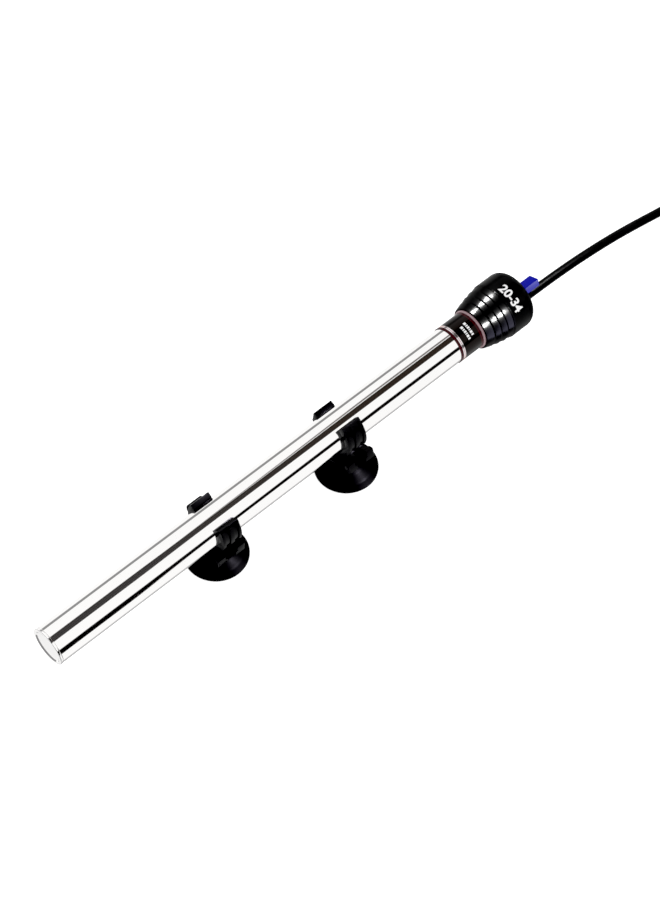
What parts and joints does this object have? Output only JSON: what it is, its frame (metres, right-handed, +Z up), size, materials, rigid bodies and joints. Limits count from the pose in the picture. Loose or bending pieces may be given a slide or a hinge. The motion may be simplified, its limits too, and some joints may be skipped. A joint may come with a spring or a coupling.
{
  "type": "submersible aquarium heater",
  "caption": "Submersible aquarium heater with a bright metal sheath, ribbed black head, blue temperature knob, push-on clips with suction cups and a tied mains cord.",
  "frame": {"origin": "centre of the lower suction cup's rim, on the surface that the cups stand on", "axes": "+X along the sheath towards the cord, +Y to the back (side of the clips' thumb tabs), +Z up"},
  "size_m": [0.5166, 0.1405, 0.0483],
  "materials": {
    "sheath_steel": "bright polished stainless steel",
    "label_print": "glossy printed sleeve with dark red and silver edge bands",
    "gasket_rubber": "pale pinkish grey silicone",
    "head_rubber": "satin black rubber",
    "plug_rubber": "matt black rubber",
    "knob_plastic": "semi-gloss deep blue moulded plastic",
    "cord_jacket": "smooth black cord jacket",
    "clip_plastic": "semi-gloss black moulded plastic",
    "cup_rubber": "glossy soft black rubber",
    "plug_plastic": "matt black moulded plastic",
    "pin_metal": "nickel-plated brass",
    "brass": "plain brass",
    "steel": "plain steel",
    "silver_contact": "silver contact metal",
    "bimetal": "rolled bimetal",
    "ceramic": "unglazed fired ceramic",
    "frame_plastic": "brown heat-proof moulding",
    "coil_wire": "oxidised resistance wire",
    "glass_fibre": "woven glass-fibre sleeve",
    "core_brown": "brown wire insulation",
    "core_blue": "blue wire insulation",
    "capacitor_case": "moulded capacitor case",
    "tie_plastic": "black flexible tie"
  },
  "bodies": {
    "heater": {"sheath_tube": "sheath_steel", "sheath_end_cap": "sheath_steel", "label_sleeve": "label_print", "cap_gasket": "gasket_rubber", "head_cap": "head_rubber", "sealing_plug": "plug_rubber", "shaft_bushing": "brass", "shaft_o_ring": "plug_rubber", "cord_clamp": "plug_plastic", "frame_collar": "frame_plastic", "thermostat_frame": "frame_plastic", "frame_screws": "brass", "terminal_posts": "brass", "snap_magnet": "steel", "suppression_capacitor": "capacitor_case", "ceramic_former": "ceramic", "heating_coil": "coil_wire", "insulation_sleeve": "glass_fibre", "end_spacer": "ceramic", "upper_spacer": "ceramic", "return_lead": "steel", "coil_lead": "steel", "neutral_core": "core_blue", "live_core": "core_brown", "thermal_fuse": "steel", "crimp_sleeves": "pin_metal", "power_cord": "cord_jacket", "cord_ties": "tie_plastic", "plug_body": "plug_plastic", "plug_pins": "pin_metal", "pin_sleeves": "plug_plastic"},
    "dial": {"temperature_knob": "knob_plastic", "dial_shaft": "steel", "shaft_retainer": "steel"},
    "adjuster": {"adjuster_nut": "frame_plastic"},
    "contact_arm": {"contact_arm": "brass", "fixed_contact": "silver_contact"},
    "bimetal": {"bimetal_strip": "bimetal", "moving_contact": "silver_contact"},
    "lower_clip": {"lower_clip": "clip_plastic"},
    "upper_clip": {"upper_clip": "clip_plastic"},
    "lower_cup": {"lower_suction_cup": "cup_rubber"},
    "upper_cup": {"upper_suction_cup": "cup_rubber"}
  },
  "joints": [
    {"name": "dial_turn", "type": "hinge", "parent": "heater", "child": "dial", "pos_m": [0.2264, -0.0018, 0.0351], "axis": [1, 0, 0], "range_deg": [-135, 135]},
    {"name": "adjuster_slide", "type": "slide", "parent": "heater", "child": "adjuster", "axis": [1, 0, 0], "range_m": [-0.00027, 0.00027]},
    {"name": "contact_arm_tilt", "type": "hinge", "parent": "heater", "child": "contact_arm", "pos_m": [0.13, -0.0018, 0.0343], "axis": [0, 1, 0], "range_deg": [-0.7, 0.7]},
    {"name": "bimetal_bend", "type": "hinge", "parent": "heater", "child": "bimetal", "pos_m": [0.08, -0.0018, 0.0324], "axis": [0, -1, 0], "range_deg": [-0.8, 0.3]},
    {"name": "lower_clip_slide", "type": "slide", "parent": "heater", "child": "lower_clip", "axis": [1, 0, 0], "range_m": [-0.09, 0.02]},
    {"name": "upper_clip_slide", "type": "slide", "parent": "heater", "child": "upper_clip", "axis": [1, 0, 0], "range_m": [-0.03, 0.068]},
    {"name": "lower_cup_tilt", "type": "hinge", "parent": "lower_clip", "child": "lower_cup", "pos_m": [0, 0, 0.0121], "axis": [1, 0, 0], "range_deg": [-18, 18]},
    {"name": "upper_cup_tilt", "type": "hinge", "parent": "upper_clip", "child": "upper_cup", "pos_m": [0.08914, -0.00564, 0.01296], "axis": [1, 0, 0], "range_deg": [-35, 1]}
  ],
  "couplings": [
    {"joint": "dial_turn", "follows": "adjuster_slide", "rad_per_m": 8726.6},
    {"joint": "contact_arm_tilt", "follows": "adjuster_slide", "rad_per_m": 39.2}
  ]
}
